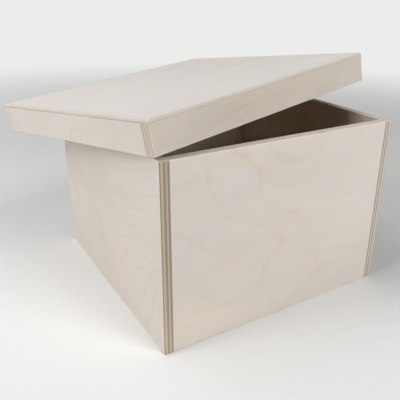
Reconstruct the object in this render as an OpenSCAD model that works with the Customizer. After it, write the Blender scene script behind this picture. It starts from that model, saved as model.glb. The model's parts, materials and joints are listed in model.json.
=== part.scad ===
// Square plywood storage box with a loose lift-off lid.
// The lid is set down askew: turned on the box, high over the near right corner,
// with its far left part hanging outside the walls.
// Millimetres, +Z up, +X to the right along the front, +Y to the back.
// The origin is the centre of the box's underside.

/* [Box] */
// Width of the box outside, left to right
box_w = 350; // [300:5:400]
// Depth of the box outside, front to back
box_d = 350; // [300:5:400]
// Height of the walls
box_h = 246; // [180:1:320]
// Thickness of the wall panels
wall_t = 12; // [9:1:15]
// Thickness of the bottom panel
bottom_t = 12; // [9:1:15]

/* [Lid] */
// Height of the lid's rails, below its top board
rail_h = 36; // [28:1:50]
// Thickness of the lid's rails
rail_t = 12; // [9:1:15]
// Thickness of the lid's top board
top_t = 4; // [3:0.5:6]
// Clearance on each side between a seated lid and the box
lid_clearance = 2; // [1:0.5:4]

/* [Lid set down askew] */
// Where the left rail crosses the left wall, measured from the front
rest_from_front = 41; // [30:1:60]
// Where the right rail crosses the back wall, measured from the right
rest_from_right = 49; // [35:1:65]
// Gap between the box's far left corner and the back rail
rest_back_gap = 26; // [10:1:40]
// Air left under the lid where it rests on the box
rest_gap = 0.3; // [0.2:0.1:1]

/* [Dowels] */
// Diameter of the dowels and their holes
dowel_d = 6; // [5:0.5:6.5]
// Length of a dowel
dowel_l = 30; // [24:1:40]
// How far a dowel goes into the face of the covering board
dowel_in_face = 7.5; // [5:0.5:7.5]
// Room for glue at each end of a dowel
glue_room = 0.5; // [0.2:0.1:1]
// Number of dowels in each corner of the box
corner_dowels = 4; // [2:1:6]
// Number of dowels in each edge of the bottom panel
bottom_dowels = 3; // [2:1:5]
// Number of dowels in each corner of the lid
lid_dowels = 2; // [1:1:3]
// Distance from a board's end to its first dowel
dowel_margin = 40; // [25:1:60]

/* [Finish] */
// Radius of the sanded outer arrises
arris_r = 1; // [0.5:0.25:2]

/* [Hidden] */
birch = [0.84, 0.80, 0.75];
birch_top = [0.87, 0.84, 0.80];
beech = [0.78, 0.64, 0.46];
eps = 0.01;

// Boards of the box
span_w = box_w - 2 * wall_t;
span_d = box_d - 2 * wall_t;
panel_across = [span_w, wall_t, box_h];
panel_deep = [wall_t, box_d, box_h];
bottom_size = [span_w, span_d, bottom_t];

// Boards of the lid
lid_w = box_w + 2 * (lid_clearance + rail_t);
lid_d = box_d + 2 * (lid_clearance + rail_t);
rail_across = [lid_w, rail_t, rail_h];
rail_deep = [rail_t, lid_d - 2 * rail_t, rail_h];
top_size = [lid_w, lid_d, top_t];

// Three places on the top edge of the box carry the lid: its left rail lies on the left
// wall, its right rail on the back wall, and its top board on the far left corner.
left_rest = [-box_w / 2, -box_d / 2 + rest_from_front, box_h];
back_rest = [box_w / 2 - rest_from_right, box_d / 2, box_h];
far_corner = [-box_w / 2, box_d / 2, box_h];

// The lid's own directions when it lies there: up through its top board, right along its
// front rail and back along its left rail. The rails touch with their inner lower edges.
rise_x = rail_h / (box_w - rest_from_right);
rise_y = rail_h / (box_d - rest_from_front);
lid_up = [-rise_x, rise_y, sqrt(1 - rise_x * rise_x - rise_y * rise_y)];
rest_line = back_rest - left_rest;
rest_dir = rest_line / norm(rest_line);
rest_turn = acos((lid_w - 2 * rail_t) / norm(rest_line));
lid_right = cos(rest_turn) * rest_dir - sin(rest_turn) * cross(lid_up, rest_dir);
lid_back = cross(lid_up, lid_right);

// Lower outer corner of the lid, front left
lid_corner = lid_right * (left_rest * lid_right - rail_t)
    + lid_back * (far_corner * lid_back - (lid_d - rail_t - rest_back_gap))
    + lid_up * (left_rest * lid_up + rest_gap);
lid_pose = [
    [lid_right.x, lid_back.x, lid_up.x, lid_corner.x],
    [lid_right.y, lid_back.y, lid_up.y, lid_corner.y],
    [lid_right.z, lid_back.z, lid_up.z, lid_corner.z],
    [0, 0, 0, 1]
];

// Dowel places along a joint, evenly spaced between two ends
function spread(first, last, count) =
    count < 2
        ? [(first + last) / 2]
        : [for (i = [0 : count - 1]) first + (last - first) * i / (count - 1)];
corner_heights = spread(bottom_t + dowel_margin, box_h - dowel_margin, corner_dowels);
bottom_xs = spread(-span_w / 2 + dowel_margin, span_w / 2 - dowel_margin, bottom_dowels);
bottom_ys = spread(-span_d / 2 + dowel_margin, span_d / 2 - dowel_margin, bottom_dowels);
lid_heights = spread(rail_h / (lid_dowels + 1), rail_h * lid_dowels / (lid_dowels + 1), lid_dowels);
dowel_in_end = dowel_l - dowel_in_face;

// Sliver between a sharp arris at the origin and its rounding
module arris_section() {
    difference() {
        translate([-eps, -eps]) square(arris_r + eps);
        translate([arris_r, arris_r]) circle(r = arris_r, $fn = 32);
    }
}

// Cuts for the arrises of a board that stands in the positive octant. Each flag is 0 for
// the arris at the board's low side and 1 for the one at its high side.
module ease_along_x(size, high_y, high_z) {
    translate([-eps, high_y * size.y, high_z * size.z])
        mirror([0, high_y, 0]) mirror([0, 0, high_z])
            rotate([90, 0, 90]) linear_extrude(size.x + 2 * eps) arris_section();
}

module ease_along_y(size, high_x, high_z) {
    translate([high_x * size.x, -eps, high_z * size.z])
        mirror([high_x, 0, 0]) mirror([0, 0, high_z])
            translate([0, size.y + 2 * eps, 0])
                rotate([90, 0, 0]) linear_extrude(size.y + 2 * eps) arris_section();
}

module ease_along_z(size, high_x, high_y) {
    translate([high_x * size.x, high_y * size.y, -eps])
        mirror([high_x, 0, 0]) mirror([0, high_y, 0])
            linear_extrude(size.z + 2 * eps) arris_section();
}

// Holes and dowels lie along +X from the joint plane at the origin. The covering board is
// on the low side and the board with the end holes on the high side.
module dowel_hole() {
    translate([-dowel_in_face - glue_room, 0, 0])
        rotate([0, 90, 0]) cylinder(d = dowel_d, h = dowel_l + 2 * glue_room, $fn = 48);
}

module dowel() {
    translate([-dowel_in_face, 0, 0])
        rotate([0, 90, 0]) cylinder(d = dowel_d, h = dowel_l, $fn = 48);
}

// Joint places. Each puts its children, drawn for the left or the front, at every dowel.
module at_corner(side_x, side_y) {
    for (z = corner_heights)
        translate([side_x * span_w / 2, side_y * (box_d - wall_t) / 2, z])
            mirror([side_x > 0 ? 1 : 0, 0, 0]) children();
}

module at_bottom_side(side_x) {
    for (y = bottom_ys)
        translate([side_x * span_w / 2, y, bottom_t / 2])
            mirror([side_x > 0 ? 1 : 0, 0, 0]) children();
}

module at_bottom_end(side_y) {
    for (x = bottom_xs)
        translate([x, side_y * span_d / 2, bottom_t / 2])
            rotate([0, 0, side_y > 0 ? -90 : 90]) children();
}

// Lid corners, in the lid's own place with its lower outer front left corner at the origin
module at_lid_corner(right, back) {
    for (z = lid_heights)
        translate([right ? lid_w - rail_t / 2 : rail_t / 2, back ? lid_d - rail_t : rail_t, z])
            rotate([0, 0, back ? -90 : 90]) children();
}

// Box panels
module side_panel(side_x) {
    difference() {
        translate([side_x > 0 ? box_w / 2 : -box_w / 2, -box_d / 2, 0])
            mirror([side_x > 0 ? 1 : 0, 0, 0])
                difference() {
                    cube(panel_deep);
                    for (low_high = [0, 1]) {
                        ease_along_y(panel_deep, 0, low_high);
                        ease_along_z(panel_deep, 0, low_high);
                        for (z_side = [0, 1])
                            ease_along_x(panel_deep, low_high, z_side);
                    }
                }
        for (side_y = [-1, 1])
            at_corner(side_x, side_y) dowel_hole();
        at_bottom_side(side_x) dowel_hole();
    }
}

module end_panel(side_y) {
    difference() {
        translate([-span_w / 2, side_y > 0 ? box_d / 2 : -box_d / 2, 0])
            mirror([0, side_y > 0 ? 1 : 0, 0])
                difference() {
                    cube(panel_across);
                    for (z_side = [0, 1])
                        ease_along_x(panel_across, 0, z_side);
                }
        for (side_x = [-1, 1])
            at_corner(side_x, side_y) dowel_hole();
        at_bottom_end(side_y) dowel_hole();
    }
}

module front_panel() {
    color(birch) end_panel(-1);
}

module back_panel() {
    color(birch) end_panel(1);
}

module left_panel() {
    color(birch) side_panel(-1);
}

module right_panel() {
    color(birch) side_panel(1);
}

module bottom_panel() {
    color(birch)
        difference() {
            translate([-span_w / 2, -span_d / 2, 0]) cube(bottom_size);
            for (side = [-1, 1]) {
                at_bottom_side(side) dowel_hole();
                at_bottom_end(side) dowel_hole();
            }
        }
}

// Box dowels
module corner_dowel_set(side_x, side_y) {
    color(beech) at_corner(side_x, side_y) dowel();
}

module bottom_side_dowel_set(side_x) {
    color(beech) at_bottom_side(side_x) dowel();
}

module bottom_end_dowel_set(side_y) {
    color(beech) at_bottom_end(side_y) dowel();
}

// Lid boards, all placed by the one pose of the lid
module lid_top_board() {
    color(birch_top) multmatrix(lid_pose)
        translate([0, 0, rail_h])
            difference() {
                cube(top_size);
                for (low_high = [0, 1]) {
                    ease_along_x(top_size, low_high, 1);
                    ease_along_y(top_size, low_high, 1);
                    for (y_side = [0, 1])
                        ease_along_z(top_size, low_high, y_side);
                }
            }
}

module cross_rail(back) {
    color(birch) multmatrix(lid_pose)
        difference() {
            translate([0, back ? lid_d : 0, 0])
                mirror([0, back ? 1 : 0, 0])
                    difference() {
                        cube(rail_across);
                        ease_along_x(rail_across, 0, 0);
                        for (x_side = [0, 1]) {
                            ease_along_y(rail_across, x_side, 0);
                            ease_along_z(rail_across, x_side, 0);
                        }
                    }
            for (right = [false, true])
                at_lid_corner(right, back) dowel_hole();
        }
}

module side_rail(right) {
    color(birch) multmatrix(lid_pose)
        difference() {
            translate([right ? lid_w : 0, rail_t, 0])
                mirror([right ? 1 : 0, 0, 0])
                    difference() {
                        cube(rail_deep);
                        ease_along_y(rail_deep, 0, 0);
                    }
            for (back = [false, true])
                at_lid_corner(right, back) dowel_hole();
        }
}

module lid_dowel_set(right, back) {
    color(beech) multmatrix(lid_pose) at_lid_corner(right, back) dowel();
}

front_panel();
back_panel();
left_panel();
right_panel();
bottom_panel();
corner_dowel_set(-1, -1);  // front_left_dowels
corner_dowel_set(1, -1);  // front_right_dowels
corner_dowel_set(-1, 1);  // back_left_dowels
corner_dowel_set(1, 1);  // back_right_dowels
bottom_end_dowel_set(-1);  // bottom_front_dowels
bottom_end_dowel_set(1);  // bottom_back_dowels
bottom_side_dowel_set(-1);  // bottom_left_dowels
bottom_side_dowel_set(1);  // bottom_right_dowels
lid_top_board();
cross_rail(false);  // lid_front_rail
cross_rail(true);  // lid_back_rail
side_rail(false);  // lid_left_rail
side_rail(true);  // lid_right_rail
lid_dowel_set(false, false);  // lid_front_left_dowels
lid_dowel_set(true, false);  // lid_front_right_dowels
lid_dowel_set(false, true);  // lid_back_left_dowels
lid_dowel_set(true, true);  // lid_back_right_dowels
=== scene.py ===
"""A square plywood chuck box whose loose lid is set down askew on its walls.

Run as a script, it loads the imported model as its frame, registers its operators and calls
them in order. Metres, +Z up, +X to the right along the front, +Y to the back.
"""

import json
from contextlib import contextmanager
from dataclasses import dataclass
from itertools import combinations
from math import pi, radians

import bmesh
import bpy
import numpy as np
from bpy.props import FloatProperty, FloatVectorProperty, PointerProperty
from mathutils import Matrix, Vector, noise


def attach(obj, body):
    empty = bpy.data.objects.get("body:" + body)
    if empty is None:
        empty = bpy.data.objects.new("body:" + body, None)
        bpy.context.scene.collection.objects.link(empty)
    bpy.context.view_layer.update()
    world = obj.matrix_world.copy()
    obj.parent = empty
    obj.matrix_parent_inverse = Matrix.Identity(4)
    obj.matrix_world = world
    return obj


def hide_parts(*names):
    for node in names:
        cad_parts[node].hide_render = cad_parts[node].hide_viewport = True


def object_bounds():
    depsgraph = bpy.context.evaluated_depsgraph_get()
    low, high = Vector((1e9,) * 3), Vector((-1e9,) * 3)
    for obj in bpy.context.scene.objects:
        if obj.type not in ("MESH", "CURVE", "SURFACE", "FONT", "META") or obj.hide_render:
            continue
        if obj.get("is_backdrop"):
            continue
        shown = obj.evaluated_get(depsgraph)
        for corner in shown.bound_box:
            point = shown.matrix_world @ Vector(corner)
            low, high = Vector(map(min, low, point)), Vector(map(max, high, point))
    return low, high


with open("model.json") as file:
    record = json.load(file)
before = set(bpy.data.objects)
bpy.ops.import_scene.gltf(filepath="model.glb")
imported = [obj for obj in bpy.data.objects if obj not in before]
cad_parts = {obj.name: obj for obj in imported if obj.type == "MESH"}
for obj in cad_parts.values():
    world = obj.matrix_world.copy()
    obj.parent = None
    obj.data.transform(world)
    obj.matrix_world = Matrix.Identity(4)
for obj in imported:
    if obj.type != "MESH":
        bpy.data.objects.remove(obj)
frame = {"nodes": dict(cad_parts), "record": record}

CAD_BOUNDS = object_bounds()

bl_info = {
    "name": "Plywood Chuck Box",
    "version": (1, 0, 0),
    "blender": (4, 5, 0),
    "location": "View3D > Sidebar > Chuck Box",
    "description": "Builds the boards and dowels of a plywood chuck box, and a plain studio",
    "category": "Add Mesh",
}

MM = 0.001
X, Y, Z = 0, 1, 2

# Places of a board's five materials, and the names of what they read from its mesh
BROAD_FACE, INNER_FACE, END_EDGE, LONG_EDGE, SHADED_JOINT = 0, 1, 2, 3, 4
GRAIN_MAP = "grain"
RING_HEIGHT = "ring_height"
RING_SLOPE = "ring_slope"
RING_STRENGTH = "ring_strength"
TONE_PATCH = "stain"
EDGE_STAIN = "edge_stain"
# Marks the rounded arrises, where the veneer is drawn paler, for sanding and as a painted highlight
SANDED_AND_SHEEN = "sanded"

# Shares of a board's thickness, from its outer face, at which one ply meets the next
FIVE_PLIES = (0.115, 0.385, 0.6, 0.79)
THREE_PLIES = (0.3, 0.7)

# Growth rings that come to the surface of a board's outer veneer. Each has its number and
# its points in millimetres, along the grain and up, from the low corner of the box or lid,
# and where it is not plain there, how strongly the ring shows. A number between two rings
# holds a plain patch between them.
RINGS = {
    "front_panel": (
        (0, (22, 153), (35, 148), (50, 134), (62, 125), (75, 117), (84, 111, 1.3),
         (92, 108, 1.3), (84, 102), (60, 99, 0.8), (30, 93, 0.8)),
        (1, (55, 237, 0.8), (57, 220), (59, 205), (68, 192), (78, 175), (84, 163), (95, 156),
         (110, 150), (125, 144, 1.2), (140, 135, 1.2), (155, 125, 1.3), (165, 117, 1.4),
         (173, 109, 1.6), (160, 100, 1.6), (149, 90, 1.5), (143, 80, 1.4), (142, 65, 1.3),
         (135, 52), (120, 46), (90, 45), (55, 45), (20, 46, 0.7)),
        (2, (90, 241, 1.4), (105, 235, 1.8), (118, 224, 1.8), (128, 212, 2), (132, 200, 1.8),
         (131, 185, 1.4), (136, 175), (147, 164), (165, 156), (180, 149, 1.3), (192, 145),
         (203, 134), (212, 120), (219, 107, 0.8), (210, 90, 0.8), (218, 80), (229, 70),
         (237, 58, 1.4), (240, 48, 1.4), (230, 37, 1.4), (212, 26, 1.6), (180, 7, 1.6)),
        (3, (145, 238), (152, 228), (162, 219, 1.2), (180, 217, 1.6), (198, 218, 1.3),
         (210, 220), (223, 223, 1.3), (236, 215), (247, 207, 0.9), (255, 195, 0.3),
         (262, 175, 0.4), (264, 155, 0.2), (268, 140, 0), (275, 127, 0), (290, 115, 0),
         (294, 100, 0), (284, 84, 0.1), (293, 70, 0.4), (305, 62), (313, 53), (308, 43),
         (295, 34), (270, 20, 0.7)),
        (4, (293, 240), (300, 225), (312, 205, 0.2), (322, 180, 0), (330, 150, 0),
         (336, 110, 0)),
    ),
    "left_panel": (
        (0, (165, 200), (125, 202), (100, 206), (75, 213), (50, 221), (15, 235)),
        (1, (290, 172), (240, 174), (190, 169), (125, 168), (105, 174), (85, 181), (65, 188),
         (45, 196), (15, 203)),
        (2, (320, 138), (290, 142), (265, 146), (245, 150), (200, 154), (175, 150), (145, 146),
         (120, 153), (95, 160), (67, 167), (15, 174)),
        (3, (330, 120), (300, 122), (275, 127), (245, 131), (210, 138), (180, 134), (150, 134),
         (125, 140), (92, 148), (75, 154), (50, 162), (15, 166)),
        (3.5, (330, 85), (290, 75), (260, 70), (240, 80), (228, 92)),
        (4, (15, 154), (50, 150), (75, 143), (100, 135), (125, 126), (150, 120), (165, 118),
         (185, 112), (200, 106), (218, 101), (205, 95), (190, 93), (192, 80), (200, 73),
         (192, 65), (210, 58), (225, 52), (250, 40), (270, 31), (290, 20)),
        (5, (182, 15), (175, 30), (167, 48), (160, 60), (145, 68), (138, 80), (135, 92),
         (125, 103), (110, 112), (95, 121), (75, 128), (50, 133), (15, 140)),
        (6, (152, 15), (147, 30), (140, 45), (132, 62), (122, 75), (110, 88), (100, 100),
         (88, 108), (70, 116), (45, 124), (15, 131)),
        (7, (125, 12), (118, 27), (110, 38), (100, 48), (88, 57), (80, 72), (70, 83), (50, 97),
         (30, 112), (12, 122)),
        (8, (95, 10), (85, 25), (75, 37), (60, 47), (52, 60), (48, 75), (38, 90), (25, 105),
         (12, 113)),
        (9, (32, 40), (28, 60), (22, 78), (12, 95)),
    ),
    "lid_front_rail": (
        (0, (4, 5, 0.6), (18, 8, 0.8), (34, 7), (48, 7), (66, 8), (74, 10, 1.2), (86, 13, 1.8),
         (96, 12, 2), (108, 16, 1.5), (116, 19, 2), (128, 20, 2.4), (140, 22, 2.2),
         (148, 21, 1.8), (156, 17, 1.6), (166, 14, 1.4), (170, 8, 1.2), (176, 3)),
        (1, (106, 36, 0.9), (112, 28, 0.7), (124, 30, 0.7), (136, 32, 0.7), (148, 31, 0.9),
         (158, 26, 1.1), (168, 20, 1.2), (178, 12, 1.1), (186, 4, 0.8)),
        (2, (228, 36, 0.9), (232, 27), (238, 18), (244, 16, 1.1), (250, 24), (254, 30, 0.9),
         (262, 20, 1.1), (268, 12, 1.1), (276, 5, 0.8)),
        (0.5, (10, 32), (50, 33), (85, 33)),
        (2.5, (300, 20), (340, 10), (374, 20)),
    ),
    "lid_left_rail": (
        (0, (110, 9, 0), (128, 12, 0), (142, 15, 0), (150, 17, 0.8), (160, 18, 1.6),
         (167, 16, 2.4), (173, 12, 3), (176, 8, 3), (178, 3, 2.4)),
        (0.5, (60, 20), (110, 21), (165, 27), (200, 20), (260, 19)),
        (-0.5, (130, 4), (160, 7)),
    ),
}

# Broad patches where a board's outer veneer is paler or darker, in the same millimetres:
# middle along and up, reach along and up, and share of change. Some are the veneer's own
# tone, and some are painted light: the front panel paler towards its right end, the lid top
# paler towards its left.
TONE_PATCHES = {
    "front_panel": (
        # The two paler patches towards the right end are painted light
        (185, 200, 55, 24, -0.04), (290, 150, 60, 60, 0.025), (40, 20, 110, 35, 0.06),
        (320, 90, 40, 40, 0.025),
    ),
    "left_panel": ((290, 105, 60, 40, 0.04), (200, 84, 14, 14, -0.04)),
    "lid_top_board": (
        # The broad paler patch towards the left is painted light
        (60, 180, 110, 140, 0.03), (250, 200, 50, 80, -0.01), (350, 30, 70, 50, 0.07),
    ),
    "lid_front_rail": ((105, 18, 50, 30, -0.06), (330, 20, 60, 30, 0.03)),
    "lid_left_rail": ((165, 18, 90, 30, 0.02),),
}
# The same for a board's edges.
EDGE_STAINS = {"left_panel": ((0, 0, 60, 90, 0.2),)}


@dataclass(frozen=True)
class Veneer:
    """How a sheet of veneer looks. colour names one of the colours of ChuckBoxColours."""

    colour: str
    drawn_rings: bool
    line_strength: float = 0.28
    line_width: float = 1.0
    mottle: float = 1.0
    # Share by which the rounded arrises are drawn paler, for sanding and as a painted highlight; below 0
    # they are drawn darker
    arris_sheen: float = 0.05


VENEERS = {
    "front": Veneer("veneer", True),
    "left": Veneer("veneer", True, line_strength=0.3, line_width=0.6),
    "plain": Veneer("plain_veneer", False),
    "inner": Veneer("inner_veneer", False, arris_sheen=0),
    # The back panel's inner face drawn paler, as painted light
    "back_inner": Veneer("back_inner_veneer", False, arris_sheen=0),
    "lid_top": Veneer("lid_veneer", False, line_strength=0.06, mottle=1.4, arris_sheen=-0.07),
    "lid_front": Veneer("lid_front_veneer", True, line_width=0.9, mottle=2),
    "lid_left": Veneer("lid_left_veneer", True, line_width=0.6),
}


def srgb(red, green, blue):
    """A colour in screen values from 0 to 255, made linear for a shader."""
    return tuple(
        share / 12.92 if share <= 0.04045 else ((share + 0.055) / 1.055) ** 2.4
        for share in (red / 255, green / 255, blue / 255)
    )


@dataclass(frozen=True)
class Board:
    """One board. Sides are named by the way they face, such as -y for the front. edges are
    the open ones, and joints are those that meet another board along an arris of the outer
    or the inner face, which joint_face names."""

    grain: int
    outer: str
    edges: tuple
    joints: tuple
    veneer: str
    end_tone: str = "lid"
    long_tone: str = "pale"
    plies: tuple = FIVE_PLIES
    slot: str = "birch_plywood"
    joint_face: str = "outer"
    inner_veneer: str = "inner"

    @property
    def inner(self):
        return ("-" if self.outer[0] == "+" else "+") + self.outer[1]

    @property
    def joint_arrises(self):
        return [(getattr(self, self.joint_face), code) for code in self.joints]

    @property
    def inner_arrises(self):
        arrises = [(self.inner, code) for code in self.edges]
        return [arris for arris in arrises if arris not in self.joint_arrises]

    @property
    def depth_axis(self):
        return side(self.outer)[0]

    @property
    def cross_axis(self):
        return 3 - self.grain - self.depth_axis


BOX_BOARDS = {
    "front_panel": Board(X, "-y", ("-z", "+z"), ("-x", "+x"), "front"),
    "back_panel": Board(
        X, "+y", ("-z", "+z"), ("-x", "+x"), "plain", inner_veneer="back_inner"
    ),
    "left_panel": Board(Y, "-x", ("-y", "+y", "-z", "+z"), (), "left", "deep"),
    "right_panel": Board(Y, "+x", ("-y", "+y", "-z", "+z"), (), "plain", "fair"),
    "bottom_panel": Board(X, "-z", (), ("-x", "+x", "-y", "+y"), "plain"),
}
LID_BOARDS = {
    "lid_top_board": Board(
        X, "+z", ("-x", "+x", "-y", "+y"), ("-x", "+x", "-y", "+y"), "lid_top", "thin", "thin",
        THREE_PLIES, "thin_birch_plywood", "inner",
    ),
    "lid_front_rail": Board(X, "-y", ("-x", "+x", "-z"), ("+z",), "lid_front"),
    "lid_back_rail": Board(X, "+y", ("-x", "+x", "-z"), ("+z",), "plain", "pale"),
    "lid_left_rail": Board(Y, "-x", ("-z",), ("-y", "+y", "+z"), "lid_left"),
    "lid_right_rail": Board(Y, "+x", ("-z",), ("-y", "+y", "+z"), "plain"),
}
BODIES = {"box": BOX_BOARDS, "lid": LID_BOARDS}

# Open gaps in the top edge of the front panel, in millimetres: start and end along the row's
# X, near and far side below the outer face, and depth
TOP_GAPS = (
    (-161, 31, 4.3, 4.9, 1),
    (44, 57, 1.3, 3.3, 2),
)


class ChuckBoxBoards(bpy.types.PropertyGroup):
    """How the boards are finished."""

    arris: FloatProperty(
        name="Arris", description="Radius of the sanded outer arrises", default=0.7 * MM,
        unit="LENGTH",
    )
    lid_arris: FloatProperty(
        name="Lid arris", description="Radius of the arrises round the top of the lid",
        default=1.5 * MM, unit="LENGTH",
    )
    joint_arris: FloatProperty(
        name="Joint arris", description="Width of the broken arrises along a joint",
        default=0.3 * MM, unit="LENGTH",
    )
    inner_arris: FloatProperty(
        name="Inner arris", description="Width of the broken arrises on the inner faces",
        default=0.3 * MM, unit="LENGTH",
    )
    sanding: FloatProperty(
        name="Sanding", description="How far hand sanding strays along an arris",
        default=0.2 * MM, unit="LENGTH",
    )
    ply_relief: FloatProperty(
        name="Ply relief", description="How far an end-grain ply lies below its edge",
        default=0.08 * MM, unit="LENGTH",
    )
    fine_cell: FloatProperty(
        name="Fine cell", description="Mesh cell of a board whose growth rings are drawn",
        default=3 * MM, unit="LENGTH",
    )
    coarse_cell: FloatProperty(
        name="Coarse cell", description="Mesh cell of the other boards", default=9 * MM,
        unit="LENGTH",
    )
    glue_room: FloatProperty(
        name="Glue room", description="Room at each end of a dowel in its hole",
        default=0.5 * MM, unit="LENGTH",
    )


class ChuckBoxColours(bpy.types.PropertyGroup):
    """Colours of the wood."""

    veneer: FloatVectorProperty(
        name="Veneer", description="Sanded birch face", subtype="COLOR",
        default=srgb(210, 202, 193), min=0, max=1,
    )
    lid_veneer: FloatVectorProperty(
        name="Lid veneer", description="Paler face of the thin lid board", subtype="COLOR",
        default=srgb(222, 217, 212), min=0, max=1,
    )
    plain_veneer: FloatVectorProperty(
        name="Plain veneer", description="Face of the boards that are turned away",
        subtype="COLOR", default=srgb(208, 198, 186), min=0, max=1,
    )
    inner_veneer: FloatVectorProperty(
        name="Inner veneer", description="Warmer faces inside the box and the lid",
        subtype="COLOR", default=srgb(222, 206, 188), min=0, max=1,
    )
    # Painted light: the inner veneer drawn paler on the back panel, where light comes in under the lid
    back_inner_veneer: FloatVectorProperty(
        name="Back inner veneer", description="Paler inner face of the back panel",
        subtype="COLOR", default=srgb(240, 230, 218), min=0, max=1,
    )
    lid_front_veneer: FloatVectorProperty(
        name="Lid front veneer", description="Darker face of the lid's front rail",
        subtype="COLOR", default=srgb(197, 188, 177), min=0, max=1,
    )
    lid_left_veneer: FloatVectorProperty(
        name="Lid left veneer", description="Paler face of the lid's left rail",
        subtype="COLOR", default=srgb(211, 204, 196), min=0, max=1,
    )
    deep_end_grain: FloatVectorProperty(
        name="Deep end grain", description="Plies cut across their grain, ends of left panel",
        subtype="COLOR", default=srgb(150, 134, 119), min=0, max=1,
    )
    deep_long_grain: FloatVectorProperty(
        name="Deep long grain", description="Plies cut along their grain, ends of left panel",
        subtype="COLOR", default=srgb(184, 168, 152), min=0, max=1,
    )
    fair_end_grain: FloatVectorProperty(
        name="Fair end grain", description="Plies cut across their grain, ends of right panel",
        subtype="COLOR", default=srgb(164, 151, 139), min=0, max=1,
    )
    fair_long_grain: FloatVectorProperty(
        name="Fair long grain", description="Plies cut along their grain, ends of right panel",
        subtype="COLOR", default=srgb(203, 193, 183), min=0, max=1,
    )
    lid_end_grain: FloatVectorProperty(
        name="Lid end grain", description="Plies cut across their grain, ends of lid rails",
        subtype="COLOR", default=srgb(190, 178, 166), min=0, max=1,
    )
    lid_long_grain: FloatVectorProperty(
        name="Lid long grain", description="Plies cut along their grain, ends of lid rails",
        subtype="COLOR", default=srgb(203, 192, 181), min=0, max=1,
    )
    # Painted light: on the pale edges the end grain is drawn nearly as pale as the long grain, as a sheen
    # shows it at a grazing view, and both are drawn paler so that the top edges show lit
    pale_end_grain: FloatVectorProperty(
        name="Pale end grain", description="Plies cut across their grain, on other edges",
        subtype="COLOR", default=srgb(206, 197, 188), min=0, max=1,
    )
    pale_long_grain: FloatVectorProperty(
        name="Pale long grain", description="Plies cut along their grain, on other edges",
        subtype="COLOR", default=srgb(218, 210, 201), min=0, max=1,
    )
    thin_end_grain: FloatVectorProperty(
        name="Thin end grain", description="Plies cut across their grain, lid's top board",
        subtype="COLOR", default=srgb(208, 198, 188), min=0, max=1,
    )
    thin_long_grain: FloatVectorProperty(
        name="Thin long grain", description="Plies cut along their grain, lid's top board",
        subtype="COLOR", default=srgb(216, 208, 198), min=0, max=1,
    )
    glue: FloatVectorProperty(
        name="Glue line", description="Glue between two plies", subtype="COLOR",
        default=srgb(118, 100, 86), min=0, max=1,
    )
    # Painted shade: joints, gaps and holes drawn darker than the wood
    joint: FloatVectorProperty(
        name="Joint line", description="Open arris where two boards meet", subtype="COLOR",
        default=srgb(166, 152, 140), min=0, max=1,
    )
    beech: FloatVectorProperty(
        name="Beech", description="Dowels", subtype="COLOR", default=srgb(196, 160, 118),
        min=0, max=1,
    )


class ChuckBoxStudio(bpy.types.PropertyGroup):
    """The plain studio round the box."""

    floor: FloatVectorProperty(
        name="Floor", description="Colour of the floor and the background", subtype="COLOR",
        default=srgb(236, 236, 235), min=0, max=1,
    )
    sky: FloatProperty(
        name="Sky", description="Strength of the even light from all round", default=0.06
    )
    left_lamp: FloatProperty(
        name="Left lamp", description="Share of full light from the low lamp on the left",
        default=0.28,
    )
    high_left_lamp: FloatProperty(
        name="High left lamp", description="Share of full light from the upper lamp on the left",
        default=0.29,
    )
    front_lamp: FloatProperty(
        name="Front lamp", description="Share of full light from the low lamp in front",
        default=0.45,
    )
    high_front_lamp: FloatProperty(
        name="High front lamp", description="Share of full light from the upper lamp in front",
        default=0.24,
    )
    back_lamp: FloatProperty(
        name="Back lamp", description="Share of full light from the lamp high over the back",
        default=0.36,
    )


def side(code):
    """Axis number and sign of a side such as -y."""
    return "xyz".index(code[1]), 1 if code[0] == "+" else -1


def broad_direction(node, axis):
    """The way that the broad face of a CAD board looks, on the side where axis is positive."""
    triangles = frame["nodes"][node].data.polygons
    largest = max(triangles, key=lambda triangle: triangle.area)
    return largest.normal * (1 if largest.normal[axis] > 0 else -1)


def turn_of(body):
    """A body's own right, back and up directions, as the columns of a matrix."""
    if body == "box":
        return np.eye(3)
    up = broad_direction("lid_top_board", Z)
    right = broad_direction("lid_front_rail", Y).cross(up).normalized()
    return np.array([right, up.cross(right), up]).T


def cad_points(node, turn):
    """Places of a CAD node's vertices, along a body's own directions."""
    vertices = frame["nodes"][node].data.vertices
    return np.array([vertex.co for vertex in vertices], float) @ turn


def cad_box(node, turn):
    """Lowest and highest corner of a CAD node along a body's own directions."""
    points = cad_points(node, turn)
    return Vector(points.min(0)), Vector(points.max(0))


@contextmanager
def editing(piece, select="FACE"):
    """Edit mode on one piece, with nothing selected."""
    bpy.ops.object.select_all(action="DESELECT")
    bpy.context.view_layer.objects.active = piece
    piece.select_set(True)
    bpy.ops.object.mode_set(mode="EDIT")
    bpy.ops.mesh.select_mode(type=select)
    bpy.ops.mesh.select_all(action="DESELECT")
    yield
    bpy.ops.object.mode_set(mode="OBJECT")


def pick_faces(piece, wanted):
    """Selects the faces that are wanted, and says how many they are."""
    shape = bmesh.from_edit_mesh(piece.data)
    shape.normal_update()
    found = [face for face in shape.faces if wanted(face)]
    for face in found:
        face.select_set(True)
    bmesh.update_edit_mesh(piece.data)
    return len(found)


def pick_edges(piece, wanted):
    """Selects the edges that are wanted, and says how many they are."""
    shape = bmesh.from_edit_mesh(piece.data)
    shape.normal_update()
    found = [edge for edge in shape.edges if wanted(edge)]
    for edge in found:
        edge.select_set(True)
    bmesh.update_edit_mesh(piece.data)
    return len(found)


def looks(face, code):
    """Whether a face looks the way that a side does."""
    axis, sign = side(code)
    return face.normal[axis] * sign > 0.999


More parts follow.
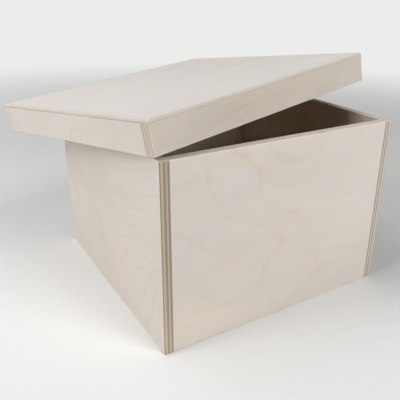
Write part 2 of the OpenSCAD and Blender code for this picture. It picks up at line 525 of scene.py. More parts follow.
def runs_along(edge, axis, at_least):
    """Whether an edge is parallel to an axis and long enough."""
    start, end = (vertex.co for vertex in edge.verts)
    span = abs(end[axis] - start[axis])
    return span > at_least and span > 0.999 * edge.calc_length()


def apply_modifier(piece, kind, **settings):
    """Adds one modifier to a piece and applies it."""
    bpy.ops.object.select_all(action="DESELECT")
    bpy.context.view_layer.objects.active = piece
    piece.select_set(True)
    modifier = piece.modifiers.new(kind.title(), kind)
    for name, value in settings.items():
        setattr(modifier, name, value)
    bpy.ops.object.modifier_apply(modifier=modifier.name)


def add_block(name, low, high):
    """A block from one corner to the other, its place in its mesh."""
    bpy.ops.object.select_all(action="DESELECT")
    bpy.ops.mesh.primitive_cube_add(size=1, location=(low + high) / 2, scale=high - low)
    block = bpy.context.active_object
    block.name = block.data.name = name
    bpy.ops.object.transform_apply(location=True, rotation=True, scale=True)
    return block


def ease_arrises(piece, pairs, width, segments):
    """Rounds the arrises between pairs of sides."""
    with editing(piece, "EDGE"):
        for one, other in pairs:
            pick_edges(
                piece,
                lambda edge: any(looks(face, one) for face in edge.link_faces)
                and any(looks(face, other) for face in edge.link_faces),
            )
        if pairs:
            bpy.ops.mesh.bevel(offset=width, segments=segments, affect="EDGES")


def open_arrises(board):
    """Pairs of open sides of a board that meet in an arris."""
    sides = (board.outer, *board.edges)
    return [pair for pair in combinations(sides, 2) if pair[0][1] != pair[1][1]]


def depth_of(board, low, high, place):
    """Distance of a place from a board's outer face."""
    axis, sign = side(board.outer)
    return high[axis] - place[axis] if sign > 0 else place[axis] - low[axis]


def part_plies(piece, board, low, high, relief):
    """Cuts a board's edges into its plies and sinks those that show end grain."""
    axis, sign = side(board.outer)
    thickness = high[axis] - low[axis]
    normal = [0, 0, 0]
    normal[axis] = 1
    with editing(piece):
        for share in board.plies:
            place = list(high if sign > 0 else low)
            place[axis] -= sign * share * thickness
            bpy.ops.mesh.select_all(action="SELECT")
            bpy.ops.mesh.bisect(plane_co=place, plane_no=normal)
        bpy.ops.mesh.select_all(action="DESELECT")
        for edge_side in board.edges:
            across_grain = side(edge_side)[0] == board.grain

            def shows_end_grain(face):
                depth = depth_of(board, low, high, face.calc_center_median())
                ply = sum(depth > share * thickness for share in board.plies)
                return looks(face, edge_side) and (ply % 2 == 0) == across_grain

            if pick_faces(piece, shows_end_grain):
                bpy.ops.mesh.inset(thickness=relief, depth=-relief)
            bpy.ops.mesh.select_all(action="DESELECT")


def divide(piece, board, low, high, cell):
    """Divides a board's long faces into cells."""
    for axis in (board.grain, board.cross_axis):
        length = high[axis] - low[axis]
        with editing(piece, "EDGE"):
            cuts = round(length / cell) - 1
            pick_edges(piece, lambda edge: runs_along(edge, axis, length / 3))
            bpy.ops.mesh.subdivide(number_cuts=max(cuts, 1))


def sand_by_hand(piece, board, low, high, arris, stray):
    """Makes the rounded arrises a little uneven, always to the inside, and marks them where the veneer is
    drawn paler, for sanding and as a painted highlight.
    """
    corners = {"-": low, "+": high}
    sanded = np.zeros(len(piece.data.vertices), np.float32)
    for vertex in piece.data.vertices:
        for pair in open_arrises(board):
            near = all(
                abs(vertex.co[side(code)[0]] - corners[code[0]][side(code)[0]]) < arris * 1.05
                for code in pair
            )
            if near:
                sanded[vertex.index] = 1
                strength = 0.5 + 0.5 * noise.noise(vertex.co * 40)
                move = max(strength, 0) * stray
                for code in pair:
                    axis, sign = side(code)
                    vertex.co[axis] -= sign * move
    stored = piece.data.attributes.new(SANDED_AND_SHEEN, "FLOAT", "POINT")
    stored.data.foreach_set("value", sanded)


@dataclass(frozen=True)
class Dowel:
    """One dowel along an axis of its body."""

    centre: Vector
    axis: int
    radius: float
    length: float


def cad_dowels(node, turn):
    """The dowels of a CAD node, which lie side by side."""
    points = cad_points(node, turn)
    spread = [len(np.unique(points[:, axis].round(4))) for axis in (X, Y, Z)]
    axis = int(np.argmin(spread))
    span = np.ptp(points, axis=0)
    row = max((a for a in (X, Y, Z) if a != axis), key=lambda a: span[a])
    order = points[points[:, row].argsort()]
    gaps = np.flatnonzero(np.diff(order[:, row]) > 1 * MM) + 1
    dowels = []
    for group in np.split(order, gaps):
        low, high = group.min(0), group.max(0)
        size = high - low
        dowels.append(Dowel(Vector((low + high) / 2), axis, size[row] / 2, size[axis]))
    return dowels


def add_rod(radius, length, axis, centre, vertices):
    """A plain rod along an axis."""
    turns = {X: (0, pi / 2, 0), Y: (pi / 2, 0, 0), Z: (0, 0, 0)}
    bpy.ops.object.select_all(action="DESELECT")
    bpy.ops.mesh.primitive_cylinder_add(
        vertices=vertices, radius=radius, depth=length, location=centre, rotation=turns[axis]
    )
    bpy.ops.object.transform_apply(location=True, rotation=True, scale=True)
    return bpy.context.active_object


def join(pieces, name):
    """Joins pieces into one."""
    bpy.ops.object.select_all(action="DESELECT")
    for piece in pieces:
        piece.select_set(True)
    bpy.context.view_layer.objects.active = pieces[0]
    if len(pieces) > 1:
        bpy.ops.object.join()
    pieces[0].name = pieces[0].data.name = name
    return pieces[0]


def cut_away(piece, cutters):
    """Takes the cutters' shapes out of a piece and removes them."""
    if cutters:
        cutter = join(cutters, "cutter")
        apply_modifier(piece, "BOOLEAN", operation="DIFFERENCE", object=cutter, solver="EXACT")
        bpy.data.objects.remove(cutter)


def hole_cutters(low, high, dowels, glue_room):
    """Rods for the dowel holes that reach into the box from low to high."""
    cutters = []
    for dowel in dowels:
        reach = Vector([dowel.radius] * 3)
        reach[dowel.axis] = dowel.length / 2
        inside = all(
            dowel.centre[a] + reach[a] > low[a] + MM and dowel.centre[a] - reach[a] < high[a] - MM
            for a in (X, Y, Z)
        )
        if inside:
            cutters.append(
                add_rod(dowel.radius, dowel.length + 2 * glue_room, dowel.axis, dowel.centre, 48)
            )
    return cutters


def gap_cutter(low, high):
    """A long thin block for an open gap between two strips of a ply, ragged and with tapered
    ends."""
    gap = add_block("gap", low, high)
    middle = (low + high) / 2
    with editing(gap, "EDGE"):
        pick_edges(gap, lambda edge: runs_along(edge, X, (high - low).x / 2))
        bpy.ops.mesh.subdivide(number_cuts=15)
    for vertex in gap.data.vertices:
        from_end = 1 - abs(vertex.co.x - middle.x) / (high.x - middle.x)
        width = min(0.25 + 4 * from_end, 1) * (0.8 + 0.4 * noise.noise(vertex.co * 300))
        vertex.co.y = middle.y + (vertex.co.y - middle.y) * width
    return gap


def ring_field(rings):
    """A smooth function of places in millimetres that is each ring's number along that ring."""
    knots = np.array([point[:2] for ring in rings for point in ring[1:]], float)
    numbers = [ring[0] for ring in rings for _ in ring[1:]]

    def bend(places):
        squares = ((places[:, None] - knots[None]) ** 2).sum(2)
        return squares * np.log(np.maximum(squares, 1e-9)) / 2

    count = len(knots)
    system = np.zeros((count + 3, count + 3))
    system[:count, :count] = bend(knots) + 20 * np.eye(count)
    system[:count, count] = system[count, :count] = 1
    system[:count, count + 1 :] = knots
    system[count + 1 :, :count] = knots.T
    weights = np.linalg.solve(system, numbers + [0, 0, 0])

    def height(places):
        return bend(places) @ weights[:count] + weights[count] + places @ weights[count + 1 :]

    return height


def ring_strength(rings, places):
    """How strongly rings show at places: as their nearest points say, and fading far from
    any."""
    points = [point for ring in rings if ring[0] % 1 == 0 for point in ring[1:]]
    knots = np.array([point[:2] for point in points], float)
    strengths = np.array([point[2] if len(point) > 2 else 1 for point in points], float)
    squares = ((places[:, None] - knots[None]) ** 2).sum(2)
    nearness = 1 / (squares + 4) ** 2
    strength = nearness @ strengths / nearness.sum(1)
    return strength * np.interp(np.sqrt(squares.min(1)), (28, 45), (1, 0))


def stain_tone(stains, places):
    """How much lighter or darker the tone patches make the veneer at places."""
    tone = np.zeros(len(places))
    for along, up, reach_along, reach_up, change in stains:
        away = ((places - (along, up)) / (reach_along, reach_up)) ** 2
        tone += change * np.exp(-away.sum(1))
    return tone


def draw_veneer(piece, name, board, body_low):
    """Stores a board's tone patches and the height, steepness and strength of its growth rings on
    its vertices."""
    axes = [board.grain, board.cross_axis]
    points = [vertex.co for vertex in piece.data.vertices]
    places = (np.array(points)[:, axes] - np.array(body_low)[axes]) / MM
    values = {
        TONE_PATCH: stain_tone(TONE_PATCHES.get(name, ()), places),
        EDGE_STAIN: stain_tone(EDGE_STAINS.get(name, ()), places),
    }
    if name in RINGS:
        height = ring_field(RINGS[name])
        steps = [height(places + step) - height(places - step) for step in np.eye(2) / 2]
        values[RING_HEIGHT] = height(places)
        values[RING_SLOPE] = np.hypot(*steps)
        values[RING_STRENGTH] = ring_strength(RINGS[name], places)
    for attribute, value in values.items():
        stored = piece.data.attributes.new(attribute, "FLOAT", "POINT")
        stored.data.foreach_set("value", value.astype(np.float32))


def lay_grain(piece, board, low, high, shift):
    """Gives each face its material and its grain map, in metres: along the grain and across
    it on a broad face, or along the edge and down through the plies on an edge."""
    mesh = piece.data
    grain_map = mesh.uv_layers.new(name=GRAIN_MAP)
    inner_axis, inner_sign = side(board.inner)
    joints = [(side(one), side(other)) for one, other in board.joint_arrises]
    broad_places = low[board.depth_axis], high[board.depth_axis]
    for face in mesh.polygons:
        lean = [abs(share) for share in face.normal]
        lean[board.depth_axis] -= 0.05
        axis = lean.index(max(lean))
        is_inner = face.normal[inner_axis] * inner_sign > 0
        in_joint = any(
            all(face.normal[a] * sign > 0.05 for a, sign in joint) for joint in joints
        )
        in_gap = axis == board.depth_axis and all(
            abs(face.center[axis] - place) > MM for place in broad_places
        )
        # Joint arrises and the faces inside a gap or a hole get the joint's darker colour, painted shade
        if in_joint or in_gap:
            face.material_index = SHADED_JOINT
        elif axis == board.depth_axis:
            face.material_index = INNER_FACE if is_inner else BROAD_FACE
        else:
            face.material_index = END_EDGE if axis == board.grain else LONG_EDGE
        for corner in face.loop_indices:
            place = mesh.vertices[mesh.loops[corner].vertex_index].co
            if axis == board.depth_axis:
                spot = (place[board.grain] + shift + 0.7 * is_inner, place[board.cross_axis])
            else:
                along = board.cross_axis if axis == board.grain else board.grain
                spot = (place[along] + shift, depth_of(board, low, high, place))
            grain_map.data[corner].uv = spot


class Nodes:
    """Makes the nodes of one tree. What goes into a socket is a value or another's output."""

    def __init__(self, tree):
        self.tree = tree

    def put(self, socket, value):
        if isinstance(value, bpy.types.NodeSocket):
            self.tree.links.new(value, socket)
        else:
            socket.default_value = value

    def add(self, kind, inputs=None, **settings):
        node = self.tree.nodes.new("ShaderNode" + kind)
        for name, value in settings.items():
            setattr(node, name, value)
        for name, value in (inputs or {}).items():
            self.put(node.inputs[name], value)
        return node

    def math(self, operation, *values):
        node = self.add("Math", operation=operation)
        for socket, value in zip(node.inputs, values):
            self.put(socket, value)
        return node.outputs[0]

    def noise(self, place, stretch, detail=2.0, roughness=0.5):
        """Noise around 0, from about -0.5 to 0.5. stretch is how often it changes per metre."""
        mapped = self.add("Mapping", {"Vector": place, "Scale": (*stretch, 1)})
        texture = self.add(
            "TexNoise",
            {"Vector": mapped.outputs[0], "Scale": 1, "Detail": detail, "Roughness": roughness},
        )
        return self.math("SUBTRACT", texture.outputs[0], 0.5)

    def between(self, value, low, high, at_low, at_high, smooth=True):
        """value brought from between low and high to between at_low and at_high."""
        node = self.add(
            "MapRange",
            {"Value": value, "From Min": low, "From Max": high, "To Min": at_low, "To Max": at_high},
            interpolation_type="SMOOTHSTEP" if smooth else "LINEAR",
        )
        return node.outputs[0]

    def mix(self, factor, one, other, blend="MIX"):
        node = self.add("Mix", data_type="RGBA", blend_type=blend)
        for place, value in ((0, factor), (6, one), (7, other)):
            self.put(node.inputs[place], (*value, 1) if isinstance(value, tuple) else value)
        return node.outputs[2]

    def shade(self, colour, amount):
        """colour made lighter or darker by amount, a signed share."""
        factor = self.math("ADD", 1, amount)
        grey = self.add("CombineColor", {"Red": factor, "Green": factor, "Blue": factor})
        return self.mix(1, colour, grey.outputs[0], "MULTIPLY")

    def steps(self, value, places, first, second):
        """first before the first place, second after it, and so on in turn."""
        ramp = self.add("ValToRGB", {"Fac": value}).color_ramp
        ramp.interpolation = "LINEAR"
        soft = 0.012
        ramp.elements[0].position, ramp.elements[1].position = 0, 1
        ramp.elements[0].color = (first,) * 3 + (1,)
        now, after = first, second
        for place in places:
            for position, level in ((place - soft, now), (place + soft, after)):
                ramp.elements.new(position).color = (level,) * 3 + (1,)
            now, after = after, now
        ramp.elements[-1].color = (now,) * 3 + (1,)
        return ramp.id_data.nodes[-1].outputs[0]


class Shader(Nodes):
    """The nodes of a new material."""

    def __init__(self, name):
        self.material = bpy.data.materials.new(name)
        self.material.use_nodes = True
        super().__init__(self.material.node_tree)
        self.surface = self.tree.nodes["Principled BSDF"]


def times(colour, red, green, blue):
    """A colour with each channel scaled."""
    return tuple(share * scale for share, scale in zip(colour, (red, green, blue)))


def growth_lines(shader, place, veneer):
    """How strongly the dark line of a growth ring shows at a place, from 0 to about 1. The
    lines come from the rings drawn on the board, or from noise where none are drawn."""
    if veneer.drawn_rings:
        height = shader.add("Attribute", attribute_name=RING_HEIGHT).outputs["Fac"]
        slope = shader.add("Attribute", attribute_name=RING_SLOPE).outputs["Fac"]
        slope = shader.math("MAXIMUM", slope, 0.008)
        strength = shader.add("Attribute", attribute_name=RING_STRENGTH).outputs["Fac"]
    else:
        height = shader.math("MULTIPLY", shader.noise(place, (3.2, 9), 1.0), 14)
        slope = 0.035
        strength = 1
    wobble = shader.math("MULTIPLY", shader.noise(place, (22, 60)), 0.1)
    height = shader.math("ADD", height, wobble)
    nearest = shader.math("ROUND", height)
    distance = shader.math("DIVIDE", shader.math("SUBTRACT", height, nearest), slope)
    width = shader.math("MULTIPLY", shader.math("ADD", strength, 2), veneer.line_width / 3)
    distance = shader.math("DIVIDE", distance, width)
    off_side = shader.math("ABSOLUTE", shader.math("SUBTRACT", distance, 3))
    distance = shader.math("ABSOLUTE", distance)
    core = shader.between(distance, 0, 2.2, 0.4, 0)
    band = shader.between(distance, 0, 5, 0.4, 0)
    early_wood = shader.between(off_side, 0, 9, 0.25, 0)
    line = shader.math("ADD", core, shader.math("ADD", band, early_wood))
    fading = shader.between(shader.noise(place, (11, 17)), -0.2, 0.2, 0.5, 1.2)
    line = shader.math("MULTIPLY", shader.math("MULTIPLY", line, fading), strength)
    return shader.math("MULTIPLY", line, veneer.line_strength)


def veneer_material(name, veneer):
    """Rotary-cut birch veneer, sanded and bare."""
    colour = tuple(getattr(bpy.context.scene.chuck_box_colours, veneer.colour))
    shader = Shader(name)
    place = shader.add("UVMap", uv_map=GRAIN_MAP).outputs[0]
    line = growth_lines(shader, place, veneer)
    warmth = shader.between(shader.noise(place, (6, 11)), -0.2, 0.2, 0, 1)
    wood = shader.mix(warmth, times(colour, 1, 1, 1.02), times(colour, 1.005, 0.99, 0.965))
    wood = shader.mix(line, wood, times(colour, 0.9, 0.82, 0.66))

    # Patches of the veneer's own tone, and of painted light
    stain = shader.add("Attribute", attribute_name=TONE_PATCH).outputs["Fac"]
    cloud = shader.noise(place, (5, 9), 1.0)
    blotch = shader.noise(place, (17, 38), 2.0)
    streak = shader.noise(place, (22, 300), 3.0)
    fibre = shader.noise(place, (110, 1700), 2.0)
    fleck = shader.between(shader.noise(place, (160, 900), 1.0), -0.3, -0.17, 1, 0)
    tone = shader.math("ADD", stain, shader.math("MULTIPLY", cloud, 0.05))
    tone = shader.math("ADD", tone, shader.math("MULTIPLY", blotch, 0.09 * veneer.mottle))
    tone = shader.math("ADD", tone, shader.math("MULTIPLY", streak, 0.05))
    tone = shader.math("ADD", tone, shader.math("MULTIPLY", fibre, 0.06))
    tone = shader.math("SUBTRACT", tone, shader.math("MULTIPLY", fleck, 0.05))
    # The rounded arrises drawn paler by the veneer's share, for sanding and as a painted highlight
    sanded = shader.add("Attribute", attribute_name=SANDED_AND_SHEEN).outputs["Fac"]
    tone = shader.math("ADD", tone, shader.math("MULTIPLY", sanded, veneer.arris_sheen))
    shader.put(shader.surface.inputs["Base Color"], shader.shade(wood, tone))
    rough = shader.between(fibre, -0.4, 0.4, 0.56, 0.72, smooth=False)
    shader.put(shader.surface.inputs["Roughness"], rough)
    shader.surface.inputs["Specular IOR Level"].default_value = 0.25
    grooves = shader.math("ADD", fibre, shader.math("MULTIPLY", streak, 0.6))
    grooves = shader.math("SUBTRACT", grooves, shader.math("MULTIPLY", fleck, 0.5))
    bump = shader.add("Bump", {"Height": grooves, "Strength": 0.25, "Distance": 0.08 * MM})
    shader.put(shader.surface.inputs["Normal"], bump.outputs[0])
    return shader.material


def edge_material(name, thickness, plies, end_grain_first, tone):
    """The edge of a plywood board: its plies by turns in end grain and in long grain."""
    colours = bpy.context.scene.chuck_box_colours
    end_colour = tuple(getattr(colours, tone + "_end_grain"))
    long_colour = tuple(getattr(colours, tone + "_long_grain"))
    shader = Shader(name)
    place = shader.add("UVMap", uv_map=GRAIN_MAP).outputs[0]
    parts = shader.add("SeparateXYZ", {"Vector": place})
    waver = shader.math("MULTIPLY", shader.noise(place, (30, 1)), 0.25 * MM)
    depth = shader.math("DIVIDE", shader.math("ADD", parts.outputs[1], waver), thickness)
    end_grain = shader.steps(depth, plies, *((1, 0) if end_grain_first else (0, 1)))
    gaps = [shader.math("ABSOLUTE", shader.math("SUBTRACT", depth, share)) for share in plies]
    gap = gaps[0]
    for other in gaps[1:]:
        gap = shader.math("MINIMUM", gap, other)
    glue = shader.between(gap, 0.1 * MM / thickness, 0.3 * MM / thickness, 1, 0)

    pores = shader.noise(place, (1100, 1300), 2.0)
    streak = shader.noise(place, (60, 2600), 2.0)
    patch = shader.noise(place, (16, 240), 2.0)
    long_wood = shader.shade(long_colour, shader.math("MULTIPLY", streak, 0.12))
    end_wood = shader.shade(end_colour, shader.math("MULTIPLY", pores, 0.3))
    wood = shader.mix(end_grain, long_wood, end_wood)
    stain = shader.add("Attribute", attribute_name=EDGE_STAIN).outputs["Fac"]
    tone = shader.math("ADD", stain, shader.math("MULTIPLY", patch, 0.16))
    wood = shader.shade(wood, tone)
    wood = shader.mix(shader.math("MULTIPLY", glue, 0.3), wood, tuple(colours.glue))
    shader.put(shader.surface.inputs["Base Color"], wood)
    shader.put(shader.surface.inputs["Roughness"], shader.between(pores, -0.4, 0.4, 0.7, 0.85, smooth=False))
    shader.surface.inputs["Specular IOR Level"].default_value = 0.2
    grain = shader.mix(end_grain, streak, pores)
    bump = shader.add("Bump", {"Height": grain, "Strength": 0.4, "Distance": 0.15 * MM})
    shader.put(shader.surface.inputs["Normal"], bump.outputs[0])
    return shader.material


def joint_shade_material(name):
    """The open arris along a joint, and the faces inside a gap or a hole: brown, drawn darker than the wood
    as painted shade.
    """
    shader = Shader(name)
    place = shader.add("UVMap", uv_map=GRAIN_MAP).outputs[0]
    patch = shader.noise(place, (45, 45), 2.0)
    wood = shader.shade(
        tuple(bpy.context.scene.chuck_box_colours.joint), shader.math("MULTIPLY", patch, 0.8)
    )
    shader.put(shader.surface.inputs["Base Color"], wood)
    shader.surface.inputs["Roughness"].default_value = 0.8
    shader.surface.inputs["Specular IOR Level"].default_value = 0.2
    return shader.material


def beech_material(colour):
    """Beech dowel: short dark flecks along a plain reddish ground."""
    shader = Shader("beech_rod")
    place = shader.add("TexCoord").outputs["Object"]
    grain = shader.add("Mapping", {"Vector": place, "Scale": (700, 700, 700)})
    fleck = shader.add("TexNoise", {"Vector": grain.outputs[0], "Scale": 1, "Detail": 2})
    fleck = shader.math("SUBTRACT", fleck.outputs[0], 0.5)
    wood = shader.shade(colour, shader.math("MULTIPLY", fleck, 0.3))
    shader.put(shader.surface.inputs["Base Color"], wood)
    shader.put(shader.surface.inputs["Roughness"], shader.between(fleck, -0.4, 0.4, 0.6, 0.75, smooth=False))
    bump = shader.add("Bump", {"Height": fleck, "Strength": 0.3, "Distance": 0.1 * MM})
    shader.put(shader.surface.inputs["Normal"], bump.outputs[0])
    return shader.material


def board_materials(board, thickness):
    """The materials of a board's outer face, inner face, end edges, long edges and joints."""
    wanted = {
        f"{veneer}_veneer": lambda name, veneer=veneer: veneer_material(name, VENEERS[veneer])
        for veneer in (board.veneer, board.inner_veneer)
    }
    for kind, tone in (("end_edge", board.end_tone), ("long_edge", board.long_tone)):
        wanted[f"{tone}_{kind}"] = lambda name, kind=kind, tone=tone: edge_material(
            name, thickness, board.plies, kind == "end_edge", tone
        )
    wanted["joint_line"] = joint_shade_material
    return [bpy.data.materials.get(name) or make(name) for name, make in wanted.items()]


def dowel_nodes(body):
    """Names of a body's dowel nodes in the frame."""
    members = frame["record"]["behaviour"]["bodies"][body]
    return [name for name in members if name.endswith("dowels")]


def build_board(name, body, extra_cutters=()):
    """Models one board in its body's own directions, finishes it and puts it in its place."""
    sizes = bpy.context.scene.chuck_box_boards
    board = BODIES[body][name]
    turn = turn_of(body)
    low, high = cad_box(name, turn)
    thickness = high[board.depth_axis] - low[board.depth_axis]
    body_low = Vector(np.min([cad_box(member, turn)[0] for member in BODIES[body]], axis=0))

    arris = sizes.lid_arris if board.plies == THREE_PLIES else sizes.arris
    piece = add_block(name + "_board", low, high)
    ease_arrises(piece, open_arrises(board), arris, 3)
    ease_arrises(piece, board.inner_arrises, sizes.inner_arris, 1)
    ease_arrises(piece, board.joint_arrises, sizes.joint_arris, 1)
    part_plies(piece, board, low, high, sizes.ply_relief)
    divide(piece, board, low, high, sizes.fine_cell if name in RINGS else sizes.coarse_cell)
    dowels = [dowel for node in dowel_nodes(body) for dowel in cad_dowels(node, turn)]
    cut_away(piece, hole_cutters(low, high, dowels, sizes.glue_room) + list(extra_cutters))

    for material in board_materials(board, thickness):
        piece.data.materials.append(material)
    shift = 0.45 * list(BODIES[body]).index(name) + (3 if body == "lid" else 0)
    lay_grain(piece, board, low, high, shift)
    draw_veneer(piece, name, board, body_low)
    sand_by_hand(piece, board, low, high, arris, sizes.sanding)
    bpy.ops.object.select_all(action="DESELECT")
    bpy.context.view_layer.objects.active = piece
    piece.select_set(True)
    bpy.ops.object.shade_smooth_by_angle(angle=radians(35))
    apply_modifier(piece, "WEIGHTED_NORMAL", keep_sharp=True)
    piece.data.transform(Matrix(turn.tolist()).to_4x4())
    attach(piece, body)
    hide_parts(name)
    return piece


class CHUCKBOX_OT_box_walls(bpy.types.Operator):
    """Builds the four walls of the box"""

    bl_idname = "chuckbox.box_walls"
    bl_label = "Box Walls"

    def execute(self, context):
        low, high = cad_box("front_panel", turn_of("box"))
        gaps = [
            gap_cutter(
                Vector((start * MM, low.y + near * MM, high.z - deep * MM)),
                Vector((end * MM, low.y + far * MM, high.z + MM)),
            )
            for start, end, near, far, deep in TOP_GAPS
        ]
        build_board("front_panel", "box", gaps)
        for name in ("back_panel", "left_panel", "right_panel"):
            build_board(name, "box")
        return {"FINISHED"}


class CHUCKBOX_OT_box_bottom(bpy.types.Operator):
    """Builds the bottom panel, which lies between the walls"""

    bl_idname = "chuckbox.box_bottom"
    bl_label = "Box Bottom"

    def execute(self, context):
        build_board("bottom_panel", "box")
        return {"FINISHED"}


class CHUCKBOX_OT_lid_top(bpy.types.Operator):
    """Builds the thin board on top of the lid"""

    bl_idname = "chuckbox.lid_top"
    bl_label = "Lid Top"

    def execute(self, context):
        build_board("lid_top_board", "lid")
        return {"FINISHED"}


class CHUCKBOX_OT_lid_rails(bpy.types.Operator):
    """Builds the four rails under the lid's top board"""

    bl_idname = "chuckbox.lid_rails"
    bl_label = "Lid Rails"

    def execute(self, context):
        for name in ("lid_front_rail", "lid_back_rail", "lid_left_rail", "lid_right_rail"):
            build_board(name, "lid")
        return {"FINISHED"}


def build_dowel(dowel):
    """A dowel with chamfered ends and pressed flutes."""
    piece = add_rod(dowel.radius, dowel.length, Z, (0, 0, 0), 36)
    with editing(piece, "EDGE"):
        pick_edges(piece, lambda edge: abs(sum(v.co.z for v in edge.verts)) > dowel.length * 0.99)
        bpy.ops.mesh.bevel(offset=0.7 * MM, segments=1, affect="EDGES")
    with editing(piece):
        def is_flute(face):
            centre = face.calc_center_median()
            step = round(np.degrees(np.arctan2(centre.y, centre.x)) / 10 - 0.5)
            return abs(face.normal.z) < 0.01 and step % 3 == 0

        pick_faces(piece, is_flute)
        bpy.ops.mesh.inset(thickness=0.08 * MM, depth=-0.2 * MM, use_individual=True)
    turns = {X: Matrix.Rotation(pi / 2, 4, "Y"), Y: Matrix.Rotation(pi / 2, 4, "X"), Z: Matrix()}
    piece.data.transform(Matrix.Translation(dowel.centre) @ turns[dowel.axis])
    return piece


class CHUCKBOX_OT_dowels(bpy.types.Operator):
    """Builds the fluted dowels inside the joints"""

    bl_idname = "chuckbox.dowels"
    bl_label = "Dowels"

    def execute(self, context):
        material = beech_material(tuple(context.scene.chuck_box_colours.beech))
        for body in BODIES:
            turn = turn_of(body)
            for node in dowel_nodes(body):
                rods = [build_dowel(dowel) for dowel in cad_dowels(node, turn)]
                piece = join(rods, node + "_fluted")
                piece.data.materials.append(material)
                piece.data.transform(Matrix(turn.tolist()).to_4x4())
                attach(piece, body)
                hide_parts(node)
        return {"FINISHED"}


def lay_floor(colour):
    """A wide floor that takes the object's shadow. Away from the object the camera sees its
    plain colour, whatever the light there."""
    bpy.ops.object.select_all(action="DESELECT")
    bpy.ops.mesh.primitive_plane_add(size=60, location=(0, 0, 0))
    floor = bpy.context.active_object
    floor.name = "floor"
    shader = Shader("studio_floor")
    shader.put(shader.surface.inputs["Base Color"], (*colour, 1))
    shader.surface.inputs["Roughness"].default_value = 0.9
    shader.surface.inputs["Specular IOR Level"].default_value = 0
    glow = shader.add("Emission", {"Color": (*colour, 1)})
    place = shader.add("TexCoord").outputs["Object"]
    distance = shader.add("VectorMath", {0: place}, operation="LENGTH").outputs["Value"]
    away = shader.between(distance, 0.7, 2.2, 0, 1)
    away = shader.math("MULTIPLY", away, shader.add("LightPath").outputs["Is Camera Ray"])
    blend = shader.add("MixShader", {0: away, 1: shader.surface.outputs[0], 2: glow.outputs[0]})
    shader.put(shader.tree.nodes["Material Output"].inputs["Surface"], blend.outputs[0])
    floor.data.materials.append(shader.material)
    floor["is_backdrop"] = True


def light_sky(colour, strength):
    """Even light from all round, behind which the camera sees the floor's colour."""
    world = bpy.data.worlds.new("studio")
    world.use_nodes = True
    bpy.context.scene.world = world
    sky = Nodes(world.node_tree)
    light = world.node_tree.nodes["Background"]
    sky.put(light.inputs["Color"], (1, 1, 1, 1))
    sky.put(light.inputs["Strength"], strength)
    backdrop = sky.add("Background", {"Color": (*colour, 1)})
    path = sky.add("LightPath").outputs
    seen = sky.math("MAXIMUM", path["Is Camera Ray"], path["Is Glossy Ray"])
    seen = sky.math("MAXIMUM", seen, path["Is Transmission Ray"])
    blend = sky.add("MixShader", {0: seen, 1: light.outputs[0], 2: backdrop.outputs[0]})
    sky.put(world.node_tree.nodes["World Output"].inputs["Surface"], blend.outputs[0])


def add_lamp(name, share, size, place):
    """A square soft lamp aimed at the middle of the box. A white surface square to it shows
    share of full white."""
    aim = Vector((0, 0, 0.15)) - Vector(place)
    bpy.ops.object.light_add(type="AREA", location=place)
    lamp = bpy.context.active_object
    lamp.name = lamp.data.name = name
    lamp.data.energy = share * pi**2 * aim.length_squared
    lamp.data.size = size
    lamp.rotation_euler = aim.to_track_quat("-Z", "Y").to_euler()


def add_camera():
    """The camera where the photograph was taken from."""
    bpy.ops.object.camera_add(
        location=(-384.61 * MM, -621.36 * MM, 418.42 * MM),
        rotation=(radians(67.404), radians(-1.068), radians(-32.392)),
    )
    camera = bpy.context.active_object
    camera.data.sensor_width = 36
    camera.data.lens = 45.85
    camera.data.shift_x = -0.0574
    camera.data.shift_y = -0.0212
    camera.data.clip_start = 0.01
    bpy.context.scene.camera = camera


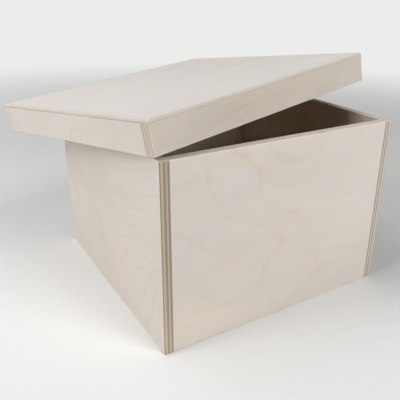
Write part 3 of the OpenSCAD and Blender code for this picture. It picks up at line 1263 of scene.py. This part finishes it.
class CHUCKBOX_OT_stage(bpy.types.Operator):
    """Lays the floor and sets up the sky, the lamps and the camera"""

    bl_idname = "chuckbox.stage"
    bl_label = "Floor, Lights and Camera"

    def execute(self, context):
        studio = context.scene.chuck_box_studio
        lay_floor(tuple(studio.floor))
        light_sky(tuple(studio.floor), studio.sky)
        add_lamp("left_lamp", studio.left_lamp, 0.9, (-2.26, 0.4, 0.85))
        add_lamp("high_left_lamp", studio.high_left_lamp, 0.9, (-1.83, -0.16, 1.7))
        add_lamp("front_lamp", studio.front_lamp, 0.9, (0.8, -2.2, 0.65))
        add_lamp("high_front_lamp", studio.high_front_lamp, 0.9, (0.38, -1.43, 2.04))
        add_lamp("back_lamp", studio.back_lamp, 1.4, (-0.84, 0.71, 2.06))
        add_camera()
        context.scene.view_settings.view_transform = "Standard"
        return {"FINISHED"}


class CHUCKBOX_PT_sidebar(bpy.types.Panel):
    """Lists the sizes, colours and steps of the chuck box"""

    bl_idname = "CHUCKBOX_PT_sidebar"
    bl_label = "Chuck Box"
    bl_space_type = "VIEW_3D"
    bl_region_type = "UI"
    bl_category = "Chuck Box"

    def draw(self, context):
        for group in ("chuck_box_boards", "chuck_box_colours", "chuck_box_studio"):
            values = getattr(context.scene, group)
            for name in type(values).__annotations__:
                self.layout.prop(values, name)
        for step in STEPS:
            self.layout.operator(step.bl_idname)


STEPS = (
    CHUCKBOX_OT_box_walls,
    CHUCKBOX_OT_box_bottom,
    CHUCKBOX_OT_lid_top,
    CHUCKBOX_OT_lid_rails,
    CHUCKBOX_OT_dowels,
    CHUCKBOX_OT_stage,
)
CLASSES = (ChuckBoxBoards, ChuckBoxColours, ChuckBoxStudio, *STEPS, CHUCKBOX_PT_sidebar)


def register():
    for each in CLASSES:
        bpy.utils.register_class(each)
    bpy.types.Scene.chuck_box_boards = PointerProperty(type=ChuckBoxBoards)
    bpy.types.Scene.chuck_box_colours = PointerProperty(type=ChuckBoxColours)
    bpy.types.Scene.chuck_box_studio = PointerProperty(type=ChuckBoxStudio)


def unregister():
    for group in ("chuck_box_boards", "chuck_box_colours", "chuck_box_studio"):
        delattr(bpy.types.Scene, group)
    for each in reversed(CLASSES):
        bpy.utils.unregister_class(each)


def main():
    register()
    bpy.ops.chuckbox.box_walls()
    bpy.ops.chuckbox.box_bottom()
    bpy.ops.chuckbox.lid_top()
    bpy.ops.chuckbox.lid_rails()
    bpy.ops.chuckbox.dowels()
    bpy.ops.chuckbox.stage()
    boxes = {"cad": CAD_BOUNDS, "visual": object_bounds()}
    {name: [list(corner) for corner in box] for name, box in boxes.items()}


if __name__ == "__main__":
    main()
